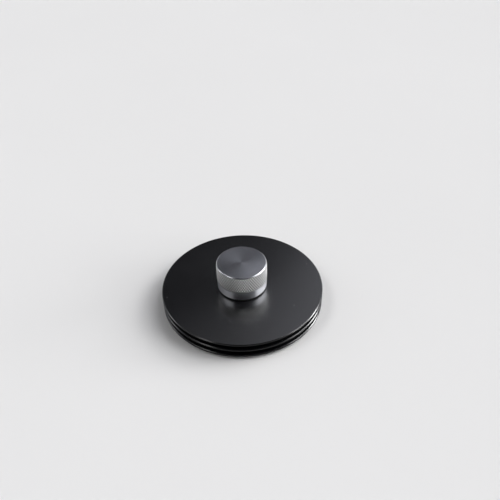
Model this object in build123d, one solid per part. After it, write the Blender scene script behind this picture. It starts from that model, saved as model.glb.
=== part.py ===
from build123d import *
import math
import os

# Record clamp: three equal discs in an open stack on a hollow bush, with a knurled knob on top.
# Millimetres, with +Z up along the turntable's spindle. The origin is the centre of the pad's
# lower face, where the clamp stands on the record's label.

# Discs
disc_diameter = 100.0
disc_thickness = 1.6
disc_gap = 2.7
disc_edge_chamfer = 0.4
spacer_width = 14.0

# Pad bonded to the underside of the lowest disc
pad_rim_inset = 4.0
pad_width = 14.0

# Knob, measured over the crests of its knurl, and the plain band that they stand proud of
knob_diameter = 31.0
knob_height = 17.3
knob_top_chamfer = 0.7
knob_band_relief = 0.2
knob_band_height = 5.8
knob_foot_chamfer = 0.3
knob_roof_thickness = 5.3

# Diamond knurl: the pitch is measured square to the grooves, the angle from the knob's axis
knurl_pitch = 1.25
knurl_angle = 30.0
knurl_depth = 0.5

# Washer between the knob and the top disc
washer_inset = 0.4
washer_thickness = 1.0

# Bush that holds the stack together and takes the spindle. Its flange lies under the lowest disc,
# in the pad's open middle, and keeps clear of the record.
spindle_bore_diameter = 7.3
spindle_mouth_chamfer = 0.5
bush_wall = 2.35
bush_flange_width = 5.0
bush_flange_thickness = 1.2
flange_above_record = 0.6
bush_clearance = 0.1
bush_end_clearance = 1.0
thread_clearance = 0.05

# Heights, from the pad up
lower_disc_bottom = flange_above_record + bush_flange_thickness
lower_disc_top = lower_disc_bottom + disc_thickness
middle_disc_bottom = lower_disc_top + disc_gap
middle_disc_top = middle_disc_bottom + disc_thickness
top_disc_bottom = middle_disc_top + disc_gap
top_disc_top = top_disc_bottom + disc_thickness
knob_bottom = top_disc_top + washer_thickness
knurl_bottom = knob_bottom + knob_band_height
knob_top = knob_bottom + knob_height
knob_hole_top = knob_top - knob_roof_thickness
bush_top = knob_hole_top - bush_end_clearance

# Radii
disc_radius = disc_diameter / 2
pad_outer_radius = disc_radius - pad_rim_inset
pad_inner_radius = pad_outer_radius - pad_width
crest_radius = knob_diameter / 2
band_radius = crest_radius - knob_band_relief
washer_radius = band_radius - washer_inset
bore_radius = spindle_bore_diameter / 2
bush_radius = bore_radius + bush_wall
flange_radius = bush_radius + bush_flange_width
bush_hole_radius = bush_radius + bush_clearance
spacer_radius = bush_hole_radius + spacer_width


def turned(*outline):
    """A piece turned on the spindle's axis from a closed outline of (radius, height) points."""
    return revolve(Plane.XZ * make_face(Polyline(*outline, close=True)), Axis.Z)


def ring(inner_radius, outer_radius, bottom, top):
    """A flat ring, square at every edge."""
    return turned((inner_radius, bottom), (outer_radius, bottom), (outer_radius, top), (inner_radius, top))


def disc(bottom):
    """One disc of the stack, with a fine chamfer above and below its rim."""
    top = bottom + disc_thickness
    return turned(
        (bush_hole_radius, bottom),
        (disc_radius - disc_edge_chamfer, bottom),
        (disc_radius, bottom + disc_edge_chamfer),
        (disc_radius, top - disc_edge_chamfer),
        (disc_radius - disc_edge_chamfer, top),
        (bush_hole_radius, top),
    )


def spacer(bottom):
    """A ring that holds two discs apart."""
    return ring(bush_hole_radius, spacer_radius, bottom, bottom + disc_gap)


def record_pad():
    """The soft ring that rests on the record."""
    return ring(pad_inner_radius, pad_outer_radius, 0, lower_disc_bottom)


def knob_washer():
    """The thin ring between the knob's foot and the top disc."""
    return ring(bush_hole_radius, washer_radius, top_disc_top, knob_bottom)


def spindle_bush():
    """Hollow bush with a flange below and a blind bore for the spindle."""
    return turned(
        (bore_radius + spindle_mouth_chamfer, flange_above_record),
        (flange_radius, flange_above_record),
        (flange_radius, lower_disc_bottom),
        (bush_radius, lower_disc_bottom),
        (bush_radius, bush_top),
        (bore_radius, bush_top),
        (bore_radius, flange_above_record + spindle_mouth_chamfer),
    )


def knurled_bar(bottom, least_top):
    """A bar whose side is a diamond knurl: four-sided pyramids between two hands of grooves.

    Rows of points go round the bar. In each row, groove crossings at the root take turns with
    crests, and the next row is half a groove further round. Each crest has four plane facets.
    """
    angle = math.radians(knurl_angle)
    grooves = round(math.pi * knob_diameter * math.cos(angle) / knurl_pitch)
    row_height = math.pi * crest_radius / (grooves * math.tan(angle))
    rows = math.ceil((least_top - bottom) / row_height)
    columns = 2 * grooves

    def point(row, column):
        radius = crest_radius - knurl_depth if (row + column) % 2 == 0 else crest_radius
        turn = math.pi * (column % columns) / grooves
        return Vector(radius * math.cos(turn), radius * math.sin(turn), bottom + row * row_height)

    def facet(*corners):
        return Face(Wire.make_polygon([point(*corner) for corner in corners]))

    facets = []
    for row in range(rows):
        for column in range(columns):
            a, b = (row, column), (row, column + 1)
            c, d = (row + 1, column + 1), (row + 1, column)
            if (row + column) % 2 == 0:
                facets += [facet(a, b, c), facet(a, c, d)]
            else:
                facets += [facet(a, b, d), facet(b, c, d)]
    for row in (0, rows):
        facets.append(facet(*[(row, column) for column in range(columns)]))
    return Solid(Shell(facets))


def knob():
    """The knob: a knurled grip with a turned top, over a plain band, bored from below."""
    clear_of_crests = 1.0
    grip_blank = turned(
        (0, knurl_bottom),
        (crest_radius + clear_of_crests, knurl_bottom),
        (crest_radius + clear_of_crests, knob_top - knob_top_chamfer - clear_of_crests),
        (crest_radius - knob_top_chamfer, knob_top),
        (0, knob_top),
    )
    grip = knurled_bar(knurl_bottom, knob_top) & grip_blank
    band = turned(
        (0, knob_bottom),
        (band_radius - knob_foot_chamfer, knob_bottom),
        (band_radius, knob_bottom + knob_foot_chamfer),
        (band_radius, knurl_bottom),
        (0, knurl_bottom),
    )
    hole = ring(0, bush_radius + thread_clearance, knob_bottom, knob_hole_top)
    return grip + band - hole


parts = {
    "knob": knob(),
    "knob_washer": knob_washer(),
    "top_disc": disc(top_disc_bottom),
    "upper_spacer": spacer(middle_disc_top),
    "middle_disc": disc(middle_disc_bottom),
    "lower_spacer": spacer(lower_disc_top),
    "lower_disc": disc(lower_disc_bottom),
    "spindle_bush": spindle_bush(),
    "record_pad": record_pad(),
}

os.makedirs("parts", exist_ok=True)
for name, shape in parts.items():
    export_step(shape, f"parts/{name}.step")
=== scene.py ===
import math

import bpy
import numpy as np
from mathutils import Matrix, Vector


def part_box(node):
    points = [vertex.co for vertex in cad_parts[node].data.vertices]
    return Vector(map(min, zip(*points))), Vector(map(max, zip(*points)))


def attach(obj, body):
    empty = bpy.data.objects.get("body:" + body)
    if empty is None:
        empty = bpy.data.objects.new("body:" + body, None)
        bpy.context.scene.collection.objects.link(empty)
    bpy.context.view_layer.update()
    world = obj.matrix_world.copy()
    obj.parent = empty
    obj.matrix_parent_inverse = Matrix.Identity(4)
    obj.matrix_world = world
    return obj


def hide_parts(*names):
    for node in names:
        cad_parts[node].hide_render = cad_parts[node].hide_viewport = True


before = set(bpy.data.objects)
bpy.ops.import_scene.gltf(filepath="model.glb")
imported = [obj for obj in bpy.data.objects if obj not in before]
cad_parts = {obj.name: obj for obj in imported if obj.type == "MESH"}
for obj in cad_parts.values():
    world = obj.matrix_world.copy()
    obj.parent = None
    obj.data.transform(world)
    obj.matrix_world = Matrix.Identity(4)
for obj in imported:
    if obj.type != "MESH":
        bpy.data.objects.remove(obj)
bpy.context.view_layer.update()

# The record clamp's finished surfaces, in metres. Everything but the knurl is turned about the
# spindle's axis, so each piece is an outline of (radius, height) points carried round that axis.
mm = 0.001

# Sizes that the pieces' boxes don't give
rim_chamfer = 0.4 * mm
bush_hole_radius = 6.1 * mm
bush_tube_radius = 6.0 * mm
bore_radius = 3.65 * mm
bore_mouth_chamfer = 0.5 * mm
pad_width = 14.0 * mm
knob_hole_radius = 6.05 * mm
knob_roof_thickness = 5.3 * mm
knob_top_chamfer = 0.7 * mm
knob_foot_chamfer = 0.3 * mm
knob_band_relief = 0.2 * mm
knob_band_height = 5.8 * mm

# Diamond knurl: the pitch is square to the grooves, the angle is from the knob's axis, and each
# cell of it has that many steps of points
knurl_pitch = 1.25 * mm
knurl_angle = math.radians(30)
knurl_depth = 0.5 * mm
knurl_steps = 6

# Shares of a pyramid: the flat on its crest and the rounding of its valley. The ramp is the slope
# at which the knurl grows out of the band.
crest_flat = 0.08
valley_round = 0.15
foot_ramp = 0.5

# The knurl's painted light: painted shade below the first share of its depth, measured from the
# crests, and bright above the second, partly the crests' own rub and partly painted highlight. At the
# foot each radius counts as the run-out's depth less, which fades upwards, so the foot is painted in
# shade.
groove_shade_share = 0.82
crest_highlight_share = 0.60
foot_shade_height = 0.6 * mm
foot_shade_depth = 0.3 * mm

# How far hard corners are broken: turned metal, and cut rubber
metal_break = 0.05 * mm
rubber_break = 0.22 * mm
corner_steps = 4
row_beside_corner = 0.04 * mm

# Rings of points on the knob's flat top, counted in from its edge
top_rings = (0.5 * mm, 2 * mm, 5 * mm, 9 * mm, 12.5 * mm)

# Points round each turned ring
ring_columns = 360


def softened(corners, rounding):
    """Closed outline with each corner rounded.

    At each corner an arc of radius `rounding` joins the two sides: it starts a tangent's length
    before the corner, and swings from the first side's direction to the second's. One more point
    before and after the arc keeps the flats beside it flat. Returns one group of points a corner.
    """
    corner = np.array(corners, float)
    into = corner - np.roll(corner, 1, axis=0)
    into /= np.linalg.norm(into, axis=1)[:, None]
    out = np.roll(into, -1, axis=0)
    turn = np.arctan2(into[:, 0] * out[:, 1] - into[:, 1] * out[:, 0], (into * out).sum(1))
    inward = np.sign(turn)[:, None] * np.stack([-into[:, 1], into[:, 0]], 1)
    tangent = (rounding * np.tan(abs(turn) / 2))[:, None]
    start, end = corner - into * tangent, corner + out * tangent
    swing = (abs(turn)[:, None] * np.linspace(0, 1, corner_steps + 1))[..., None]
    swung = np.sin(swing) * into[:, None] + (1 - np.cos(swing)) * inward[:, None]
    arc = start[:, None] + rounding * swung
    before = (start - into * row_beside_corner)[:, None]
    after = (end + out * row_beside_corner)[:, None]
    return np.concatenate([before, arc, after], axis=1)


def quads_round(rows, columns, closed):
    """Faces of a grid of rows by columns that closes round the columns, and over the rows if closed."""
    face_rows = rows if closed else rows - 1
    row, column = np.meshgrid(np.arange(face_rows), np.arange(columns), indexing="ij")
    next_row, next_column = (row + 1) % rows, (column + 1) % columns
    return np.stack([
        row * columns + column,
        row * columns + next_column,
        next_row * columns + next_column,
        next_row * columns + column,
    ], -1)


def add_piece(name, points, faces, finishes, finish_of_face):
    """Puts points and faces into a smooth mesh that stands for the node of that name."""
    mesh = bpy.data.meshes.new(name)
    mesh.from_pydata(points.tolist(), [], faces)
    mesh.polygons.foreach_set("use_smooth", np.ones(len(mesh.polygons), bool))
    for finish in finishes:
        mesh.materials.append(finish)
    mesh.polygons.foreach_set("material_index", finish_of_face.astype(np.int32))
    mesh.update()
    piece = bpy.data.objects.new("finished_" + name, mesh)
    bpy.context.scene.collection.objects.link(piece)
    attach(piece, "root")
    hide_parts(name)
    return piece


def add_turned(name, corners, rounding, finishes, finish_of_corner=None):
    """A ring of closed outline: point (i, j) is outline point i at angle j, a full turn in all.

    A corner's finish covers its rounding and the side that leaves it.
    """
    groups = softened(corners, rounding)
    radius, height = groups.reshape(-1, 2).T
    angle = np.arange(ring_columns) * (2 * math.pi / ring_columns)
    points = np.stack([
        np.outer(radius, np.cos(angle)),
        np.outer(radius, np.sin(angle)),
        np.repeat(height[:, None], ring_columns, axis=1),
    ], -1).reshape(-1, 3)
    faces = quads_round(len(radius), ring_columns, closed=True).reshape(-1, 4).tolist()
    of_corner = np.zeros(len(corners)) if finish_of_corner is None else np.array(finish_of_corner)
    finish_of_face = np.repeat(of_corner, groups.shape[1] * ring_columns)
    return add_piece(name, points, faces, finishes, finish_of_face)


def heights(name):
    """The lowest and highest height of a node, and its largest radius."""
    low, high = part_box(name)
    return low.z, high.z, high.x


def ring_corners(inner, outer, bottom, top):
    """Square outline of a plain ring."""
    return [(inner, bottom), (outer, bottom), (outer, top), (inner, top)]


def add_ring(name, inner, rounding, finish):
    """A plain ring, from the inner radius out to its node's own."""
    bottom, top, outer = heights(name)
    return add_turned(name, ring_corners(inner, outer, bottom, top), rounding, [finish])


def disc_corners(name):
    """Outline of a disc with a chamfer above and below its rim."""
    bottom, top, rim = heights(name)
    return [
        (bush_hole_radius, bottom),
        (rim - rim_chamfer, bottom),
        (rim, bottom + rim_chamfer),
        (rim, top - rim_chamfer),
        (rim - rim_chamfer, top),
        (bush_hole_radius, top),
    ]


def knurl_radius(crest_radius, turn, rise, grooves, row_height):
    """Radius of the knurl at an angle (as a share of a turn) and a height above its foot.

    Two families of V grooves wind round the grip with opposite hands. For each, the distance to
    the nearest groove runs from 0 in its valley to 1 half-way to the next. The lesser of the two
    distances gives the height on the pyramid, which ends in a small flat and has a rounded valley.
    """
    around, along = turn * grooves, rise / (2 * row_height)

    def from_groove(x):
        return 2 * abs(x - np.round(x))

    slope = np.minimum(from_groove(around + along), from_groove(around - along)) / (1 - crest_flat)
    rounded = np.sqrt(slope**2 + valley_round**2) - valley_round
    full = math.hypot(1, valley_round) - valley_round
    return crest_radius - knurl_depth * (1 - np.minimum(rounded / full, 1))


def add_knob(turned_face, knurled, band_finish, bright_cut):
    """The knob as one closed surface, from the roof of its hole, down, out, up the side and in again.

    Below the grip and on the top the rows are plain circles. On the grip the radius is the
    knurl's, held under the top chamfer's cone and over a short ramp at the foot. Each cell is cut
    along the groove that runs through it, so that every valley is one clean line.
    """
    bottom, top, crest_radius = heights("knob")
    band_radius = crest_radius - knob_band_relief
    foot = bottom + knob_band_height
    grooves = round(2 * math.pi * crest_radius * math.cos(knurl_angle) / knurl_pitch)
    row_height = math.pi * crest_radius / (grooves * math.tan(knurl_angle))
    columns = 2 * grooves * knurl_steps
    hole_top = top - knob_roof_thickness
    side = softened([
        (0, hole_top),
        (knob_hole_radius, hole_top),
        (knob_hole_radius, bottom),
        (band_radius - knob_foot_chamfer, bottom),
        (band_radius, bottom + knob_foot_chamfer),
        (band_radius, foot),
        (0, foot),
    ], metal_break)[1:5].reshape(-1, 2)
    side = np.concatenate([side, [(band_radius, foot - row_beside_corner)]])

    # Rows are three times as fine at the foot and under the chamfer, where the grip is cut off
    fine = row_height / (3 * knurl_steps)
    last_full = math.floor((top - knob_top_chamfer - foot) / row_height) * row_height
    rise = np.concatenate([
        np.arange(0, row_height - fine / 2, fine),
        np.arange(row_height, last_full - fine / 2, row_height / knurl_steps),
        np.arange(last_full, top - foot - fine / 2, fine),
        [top - foot],
    ])
    share = np.arange(columns) / columns
    grip = knurl_radius(crest_radius, share[None, :], rise[:, None], grooves, row_height)
    ramp = foot_ramp * rise[:, None]
    cone = crest_radius - knob_top_chamfer + (top - foot - rise[:, None])
    grip = np.clip(grip, band_radius - ramp, np.minimum(band_radius + ramp, cone))
    on_cone = (grip >= cone).ravel()

    edge = crest_radius - knob_top_chamfer
    face = edge - np.array([row_beside_corner, *top_rings])
    radius = np.concatenate([
        np.repeat(side[:, :1], columns, axis=1),
        grip,
        np.repeat(face[:, None], columns, axis=1),
    ])
    height = np.concatenate([side[:, 1], foot + rise, np.full(len(face), top)])
    angle = 2 * math.pi * share
    points = np.stack([
        radius * np.cos(angle),
        radius * np.sin(angle),
        np.repeat(height[:, None], columns, axis=1),
    ], -1).reshape(-1, 3)

    quads = quads_round(len(height), columns, closed=False)
    first, last = len(side), len(side) + len(rise) - 1
    plain = np.concatenate([quads[:first].reshape(-1, 4), quads[last:].reshape(-1, 4)])
    cells = quads[first:last]
    lattice_row = np.floor((rise[:-1] + fine / 2) / row_height).astype(int)
    lattice_column = np.arange(columns) // knurl_steps
    falling = (lattice_row[:, None] + lattice_column[None, :]) % 2 == 1
    rising, falling = cells[~falling], cells[falling]
    triangles = np.concatenate([
        rising[:, [0, 1, 2]], rising[:, [0, 2, 3]], falling[:, [0, 1, 3]], falling[:, [1, 2, 3]],
    ])
    roof_pole, top_pole = len(points), len(points) + 1
    points = np.concatenate([points, [(0, 0, hole_top), (0, 0, top)]])
    ring = np.arange(columns)
    beside = (ring + 1) % columns
    last_ring = (len(height) - 1) * columns
    fans = np.concatenate([
        np.stack([np.full(columns, roof_pole), beside, ring], -1),
        np.stack([last_ring + ring, last_ring + beside, np.full(columns, top_pole)], -1),
    ])
    cut = on_cone[triangles - first * columns].all(axis=1)
    finishes = [turned_face, knurled, band_finish, bright_cut]
    face_finish, knurl_finish, below_finish, cut_finish = range(len(finishes))
    finish_of_face = np.concatenate([
        np.repeat([below_finish, face_finish], [first * columns, len(plain) - first * columns]),
        np.where(cut, cut_finish, knurl_finish),
        np.repeat([below_finish, face_finish], columns),
    ])
    faces = plain.tolist() + triangles.tolist() + fans.tolist()
    return add_piece("knob", points, faces, finishes, finish_of_face)


class Finish:
    """A material in the making: its nodes, and short ways to add and join them."""

    def __init__(self, name):
        self.material = bpy.data.materials.new(name)
        self.material.use_nodes = True
        self.tree = self.material.node_tree
        self.tree.nodes.clear()
        self.place = self.add("ShaderNodeTexCoord").outputs["Object"]

    def add(self, kind, inputs=None, **settings):
        """A node of that kind. An input is a number, a colour or the output that feeds it."""
        made = self.tree.nodes.new(kind)
        for key, value in settings.items():
            setattr(made, key, value)
        for key, value in (inputs or {}).items():
            if isinstance(value, bpy.types.NodeSocket):
                self.tree.links.new(value, made.inputs[key])
            else:
                made.inputs[key].default_value = value
        return made

    def maths(self, operation, *values):
        return self.add("ShaderNodeMath", dict(enumerate(values)), operation=operation).outputs[0]

    def vectors(self, operation, *values):
        return self.add("ShaderNodeVectorMath", dict(enumerate(values)), operation=operation).outputs[0]

    def split(self, vector):
        return self.add("ShaderNodeSeparateXYZ", {0: vector}).outputs

    def noise(self, place, scale, detail=2.0, roughness=0.5):
        inputs = {"Vector": place, "Scale": scale, "Detail": detail, "Roughness": roughness}
        return self.add("ShaderNodeTexNoise", inputs).outputs["Fac"]

    def ramp(self, value, start, end, low=0.0, high=1.0):
        """The value, taken from start..end to low..high and held there."""
        inputs = {0: value, 1: start, 2: end, 3: low, 4: high}
        return self.add("ShaderNodeMapRange", inputs, clamp=True).outputs[0]

    def from_noise(self, noise, low=0.0, high=1.0):
        """Low to high over the middle of a noise, where nearly all of it lies."""
        return self.ramp(noise, 0.3, 0.7, low, high)

    def blend(self, amount, first, second):
        """A colour between two colours."""
        made = self.add("ShaderNodeMix", data_type="RGBA")
        for socket, value in zip([s for s in made.inputs if s.enabled], [amount, first, second]):
            if isinstance(value, bpy.types.NodeSocket):
                self.tree.links.new(value, socket)
            else:
                socket.default_value = value
        return next(s for s in made.outputs if s.enabled)

    def round_axis(self):
        """Unit vector out from the axis, radius, and height, of the place on the piece."""
        x, y, z = self.split(self.place)
        flat = self.add("ShaderNodeCombineXYZ", {0: x, 1: y}).outputs[0]
        radius = self.add("ShaderNodeVectorMath", {0: flat}, operation="LENGTH").outputs["Value"]
        return self.vectors("NORMALIZE", flat), radius, z

    def along_lines(self, lines_per_mm, wander):
        """Noise in long streaks that follow the turning lines.

        Across the lines it changes with radius less 0.618 of the height, so that it crosses flats,
        cones and walls alike. Along them it changes only with the direction from the axis.
        """
        out, radius, height = self.round_axis()
        across = self.maths("MULTIPLY_ADD", height, -0.618, radius)
        lines = self.maths("MULTIPLY", across, lines_per_mm / mm)
        lift = self.add("ShaderNodeCombineXYZ", {2: lines}).outputs[0]
        turned = self.add("ShaderNodeVectorMath", {0: out, "Scale": wander}, operation="SCALE").outputs[0]
        return self.noise(self.vectors("ADD", turned, lift), 1.0, detail=3.0, roughness=0.6)

    def across_lines(self):
        """Tangent square to the turning lines: the way round the axis, crossed with the normal."""
        out, _, _ = self.round_axis()
        way_round = self.vectors("CROSS_PRODUCT", (0.0, 0.0, 1.0), out)
        normal = self.add("ShaderNodeNewGeometry").outputs["Normal"]
        return self.vectors("CROSS_PRODUCT", way_round, normal)

    def bump(self, height, depth, below=None):
        inputs = {"Height": height, "Distance": depth, "Strength": 1.0}
        if below is not None:
            inputs["Normal"] = below
        return self.add("ShaderNodeBump", inputs).outputs["Normal"]

    def finish(self, **inputs):
        """Ends the material in one surface shader. Names have underscores for spaces."""
        inputs = {key.replace("_", " "): value for key, value in inputs.items()}
        shader = self.add("ShaderNodeBsdfPrincipled", inputs)
        self.add("ShaderNodeOutputMaterial", {"Surface": shader.outputs[0]})
        return self.material


def colour(red, green, blue):
    return (red, green, blue, 1.0)


def turned_aluminium(name, roughness, spread, line_depth):
    """Clear anodised aluminium with fine turning lines, a little uneven in tone."""
    made = Finish(name)
    fine = made.along_lines(lines_per_mm=9.0, wander=0.7)
    broad = made.along_lines(lines_per_mm=1.1, wander=1.6)
    stain = made.noise(made.place, 190.0, detail=3.0)
    metal = made.blend(made.from_noise(broad), colour(0.66, 0.67, 0.71), colour(0.72, 0.73, 0.765))
    stained = made.ramp(stain, 0.55, 0.8, 0.0, 0.25)
    return made.finish(
        Base_Color=made.blend(stained, metal, colour(0.52, 0.53, 0.56)),
        Metallic=1.0,
        Roughness=made.maths("ADD", made.from_noise(fine, -0.02, 0.02), roughness),
        Anisotropic=spread,
        Tangent=made.across_lines(),
        Normal=made.bump(fine, line_depth),
    )


def knurled_aluminium():
    """The knurl: near black in the grooves and at the foot where they run out, which is painted shade;
    near white on the crests, partly their own rub and partly painted highlight; rougher in the grooves.
    """
    made = Finish("knurled_aluminium")
    _, radius, height = made.round_axis()
    bottom, _, crest_radius = heights("knob")
    foot = bottom + knob_band_height
    # Painted shade at the foot: the radius counts as lower there, so the grip's foot turns darker.
    foot_shade = made.ramp(height, foot, foot + foot_shade_height, foot_shade_depth, 0.0)
    clear = made.maths("SUBTRACT", radius, foot_shade)
    groove_shade_radius = crest_radius - groove_shade_share * knurl_depth
    crest_highlight_radius = crest_radius - crest_highlight_share * knurl_depth
    # Painted light: near black in the grooves is painted shade, near white on the crests is partly rub and
    # partly painted highlight.
    painted_light_tone = made.ramp(clear, groove_shade_radius, crest_highlight_radius)
    grain = made.noise(made.place, 5200.0, detail=3.0)
    dullness = made.ramp(painted_light_tone, 0.0, 1.0, 0.60, 0.44)
    return made.finish(
        Base_Color=made.blend(painted_light_tone, colour(0.02, 0.02, 0.02), colour(0.98, 0.98, 0.975)),
        Metallic=1.0,
        Roughness=made.maths("ADD", dullness, made.from_noise(grain, -0.03, 0.03)),
        Normal=made.bump(grain, 0.004 * mm),
    )


def black_anodised(name, roughness, spread):
    """Satin black anodised aluminium: turning lines, faint scratches that follow them, and dust."""
    made = Finish(name)
    fine = made.along_lines(lines_per_mm=7.0, wander=0.9)
    broad = made.along_lines(lines_per_mm=0.35, wander=1.2)
    scratch = made.ramp(made.along_lines(lines_per_mm=2.6, wander=1.6), 0.70, 0.78)
    smudge = made.noise(made.place, 42.0, detail=4.0, roughness=0.6)
    cells = made.add("ShaderNodeTexVoronoi", {"Vector": made.place, "Scale": 260.0, "Randomness": 1.0})
    sparse = made.ramp(made.split(cells.outputs["Color"])[0], 0.90, 0.93)
    dust = made.maths("MULTIPLY", made.ramp(cells.outputs["Distance"], 0.075, 0.045), sparse)
    deep, faded = colour(0.0016, 0.0016, 0.0021), colour(0.0024, 0.0024, 0.0031)
    black = made.blend(made.from_noise(broad), deep, faded)
    black = made.blend(made.maths("MULTIPLY", scratch, 0.14), black, colour(0.10, 0.10, 0.11))
    black = made.blend(made.maths("MULTIPLY", dust, 0.6), black, colour(0.28, 0.28, 0.28))
    smeared = made.ramp(smudge, 0.35, 0.7, -0.012, 0.015)
    worn = made.maths("ADD", smeared, made.from_noise(fine, -0.012, 0.012))
    worn = made.maths("ADD", worn, made.maths("MULTIPLY", scratch, -0.03))
    return made.finish(
        Base_Color=black,
        Metallic=0.0,
        IOR=2.0,
        Roughness=made.maths("ADD", worn, roughness),
        Anisotropic=spread,
        Tangent=made.across_lines(),
        Normal=made.bump(fine, 0.0005 * mm, made.bump(dust, 0.03 * mm)),
    )


def matte_black(name, low, high, grain_per_mm, grain_depth, roughness, specular=0.5):
    """Rubber or plastic, and the discs' walls in painted shade: a fine irregular grain, and clouds of
    lighter and darker black.
    """
    made = Finish(name)
    grain = made.noise(made.place, grain_per_mm / mm, detail=3.0, roughness=0.6)
    cloud = made.noise(made.place, 130.0, detail=3.0)
    return made.finish(
        Base_Color=made.blend(made.from_noise(cloud), colour(*low), colour(*high)),
        Roughness=made.maths("ADD", made.from_noise(grain, -0.05, 0.05), roughness),
        Specular_IOR_Level=specular,
        Normal=made.bump(grain, grain_depth),
    )


def turned_brass():
    """Turned brass, slightly toned."""
    made = Finish("turned_brass")
    fine = made.along_lines(lines_per_mm=8.0, wander=0.7)
    tone = made.ramp(made.noise(made.place, 260.0, detail=4.0), 0.35, 0.7)
    return made.finish(
        Base_Color=made.blend(tone, colour(0.76, 0.57, 0.27), colour(0.62, 0.43, 0.19)),
        Metallic=1.0,
        Roughness=made.maths("ADD", made.from_noise(fine, -0.05, 0.05), 0.3),
        Anisotropic=0.6,
        Tangent=made.across_lines(),
        Normal=made.bump(fine, 0.003 * mm),
    )


def pale_floor():
    """Pale matte paper with the faintest tooth."""
    made = Finish("pale_floor")
    tooth = made.noise(made.place, 900.0, detail=3.0)
    cloud = made.from_noise(made.noise(made.place, 3.0, detail=2.0))
    return made.finish(
        Base_Color=made.blend(cloud, colour(0.75, 0.745, 0.735), colour(0.765, 0.76, 0.75)),
        Roughness=0.9,
        Specular_IOR_Level=0.1,
        Normal=made.bump(tooth, 0.02 * mm),
    )


def add_floor(extent=3.0):
    """A flat square of paper, level with the pad's lower face."""
    across = np.array([(-1, -1), (1, -1), (1, 1), (-1, 1)]) * extent
    points = np.column_stack([across, np.zeros(4)])
    mesh = bpy.data.meshes.new("floor")
    mesh.from_pydata(points.tolist(), [], [(0, 1, 2, 3)])
    mesh.materials.append(pale_floor())
    floor = bpy.data.objects.new("floor", mesh)
    bpy.context.scene.collection.objects.link(floor)


def add_softbox(name, azimuth, elevation, spread, brightness):
    """A round soft light far away. Azimuth is from the front towards +X, spread its angular radius.

    A disc of even brightness B and angular radius s gives pi B sin(s) squared on a face towards it.
    """
    azimuth, elevation, spread = map(math.radians, (azimuth, elevation, spread))
    light = bpy.data.lights.new(name, "SUN")
    light.angle = 2 * spread
    light.energy = math.pi * brightness * math.sin(spread) ** 2
    lamp = bpy.data.objects.new(name, light)
    lamp.matrix_world = Matrix.Rotation(azimuth, 4, "Z") @ Matrix.Rotation(math.pi / 2 - elevation, 4, "X")
    bpy.context.scene.collection.objects.link(lamp)


def light_room():
    """Studio walls as a smooth brightness of direction: pale low down, dark above, pale high up.

    A direction has a part x to the right, y away from the camera and z up. Each term is a smooth
    step in one of them. The high wall comes in two steps that begin lower on the right: x, held
    within 0.2 either way, is weighted and added to z. It is dimmer overhead, and both walls fade
    on the camera's side.
    """
    world = bpy.data.worlds.new("room")
    world.use_nodes = True
    tree = world.node_tree
    tree.nodes.clear()

    def add(kind, inputs=(), **settings):
        made = tree.nodes.new(kind)
        for key, value in settings.items():
            setattr(made, key, value)
        for key, value in dict(inputs).items():
            if isinstance(value, bpy.types.NodeSocket):
                tree.links.new(value, made.inputs[key])
            else:
                made.inputs[key].default_value = value
        return made

    def smooth(value, start, end, low, high):
        """A smooth step from low, where the value is at its start, to high at its end."""
        inputs = {0: value, 1: start, 2: end, 3: low, 4: high}
        return add("ShaderNodeMapRange", inputs, interpolation_type="SMOOTHSTEP").outputs[0]

    def total(first, second):
        return add("ShaderNodeMath", {0: first, 1: second}, operation="ADD").outputs[0]

    def product(first, second):
        return add("ShaderNodeMath", {0: first, 1: second}, operation="MULTIPLY").outputs[0]

    x, y, z = add("ShaderNodeSeparateXYZ", {0: add("ShaderNodeTexCoord").outputs["Generated"]}).outputs
    side = add("ShaderNodeClamp", {0: x, 1: -0.2, 2: 0.2}).outputs[0]
    steep = total(product(side, 1.8), z)
    slight = total(product(side, 0.5), z)
    high_wall = total(smooth(steep, 0.75, 0.99, 0.0, 0.62), smooth(slight, 0.635, 0.70, 0.0, 0.17))
    high_wall = total(high_wall, smooth(z, 0.87, 0.99, 0.0, -0.35))
    high_wall = product(high_wall, smooth(y, -0.55, -0.1, 0.0, 1.0))
    low_wall = smooth(z, 0.28, 0.44, smooth(x, -0.2, 0.7, 0.45, 0.60), 0.0)
    low_wall = product(low_wall, smooth(y, -0.95, -0.4, 0.12, 1.0))
    brightness = total(low_wall, high_wall)
    background = add("ShaderNodeBackground", {"Color": colour(0.91, 0.925, 1.02), "Strength": brightness})
    add("ShaderNodeOutputWorld", {"Surface": background.outputs[0]})
    bpy.context.scene.world = world


def add_camera(place, pan, tilt, roll, lens):
    """The photograph's viewpoint: pan is from +Y towards +X, tilt is down from level, in degrees."""
    camera = bpy.data.objects.new("camera", bpy.data.cameras.new("camera"))
    camera.data.sensor_width = 36.0
    camera.data.lens = lens
    camera.data.clip_start = 0.01
    pose = Matrix.Translation(place)
    for degrees, axis in ((-pan, "Z"), (90 - tilt, "X"), (roll, "Z")):
        pose = pose @ Matrix.Rotation(math.radians(degrees), 4, axis)
    camera.matrix_world = pose
    bpy.context.scene.collection.objects.link(camera)
    bpy.context.scene.camera = camera


disc_face = black_anodised("black_anodised_face", roughness=0.225, spread=0.35)
# The rims' walls are the same black anodised aluminium as the faces, given little reflection and more
# roughness so that they stay dark: painted shade.
shaded_disc_wall = matte_black(
    "black_anodised_wall_shaded", (0.003,) * 3, (0.0045,) * 3, 14.0, 0.002 * mm, 0.6, specular=0.1
)
spacer_black = matte_black("matte_black_spacer", (0.010,) * 3, (0.016,) * 3, 9.0, 0.004 * mm, 0.55)
washer_rubber = matte_black("washer_rubber", (0.010,) * 3, (0.018,) * 3, 12.0, 0.006 * mm, 0.6)
pad_rubber = matte_black("pad_rubber", (0.028,) * 3, (0.040,) * 3, 4.0, 0.03 * mm, 0.75)

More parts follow.
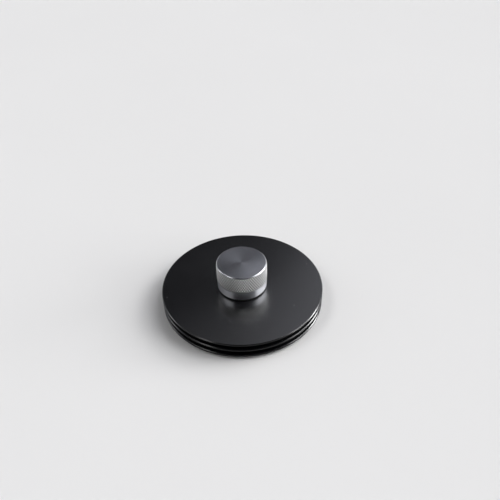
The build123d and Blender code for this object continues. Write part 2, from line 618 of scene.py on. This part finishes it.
disc_finishes = [disc_face, shaded_disc_wall]
disc_finish_of_corner = [0, 1, 1, 0, 0, 0]
for name in ("top_disc", "middle_disc", "lower_disc"):
    corners = disc_corners(name)
    add_turned(name, corners, metal_break, disc_finishes, disc_finish_of_corner)

for name in ("upper_spacer", "lower_spacer"):
    add_ring(name, bush_hole_radius, metal_break, spacer_black)
add_ring("knob_washer", bush_hole_radius, rubber_break, washer_rubber)
_, _, pad_radius = heights("record_pad")
add_ring("record_pad", pad_radius - pad_width, rubber_break, pad_rubber)

flange_bottom, bush_top, flange_radius = heights("spindle_bush")
flange_top, _, _ = heights("lower_disc")
bush_corners = [
    (bore_radius + bore_mouth_chamfer, flange_bottom),
    (flange_radius, flange_bottom),
    (flange_radius, flange_top),
    (bush_tube_radius, flange_top),
    (bush_tube_radius, bush_top),
    (bore_radius, bush_top),
    (bore_radius, flange_bottom + bore_mouth_chamfer),
]
add_turned("spindle_bush", bush_corners, metal_break, [turned_brass()])

add_knob(
    turned_aluminium("turned_aluminium_top", roughness=0.22, spread=0.55, line_depth=0.0003 * mm),
    knurled_aluminium(),
    turned_aluminium("turned_aluminium_band", roughness=0.34, spread=0.8, line_depth=0.002 * mm),
    turned_aluminium("bright_cut_aluminium", roughness=0.22, spread=0.3, line_depth=0.0004 * mm),
)

add_floor()
light_room()
for name, azimuth, elevation, spread, brightness in (
    ("right_window", 98, 36, 15, 4.6),
    ("right_window_back", 118, 28, 12, 6.4),
    ("right_window_front", 75, 38, 12, 2.0),
    ("high_right", 98, 60, 12, 3.5),
    ("low_right", 96, 10, 10, 13.0),
    ("low_front_right", 68, 10, 10, 9.0),
    ("back_right", 150, 30, 12, 0.9),
    ("high_back", 180, 54, 7, 0.15),
    ("left_window", -90, 55, 12, 3.8),
    ("low_left", -105, 24, 12, 1.5),
    ("front_left", -56, 43, 10, 1.8),
):
    add_softbox(name, azimuth, elevation, spread, brightness)
add_camera((0.0, -0.2594, 0.2538), pan=1.19, tilt=39.56, roll=-1.44, lens=40.71)

bpy.context.scene.view_settings.view_transform = "Standard"
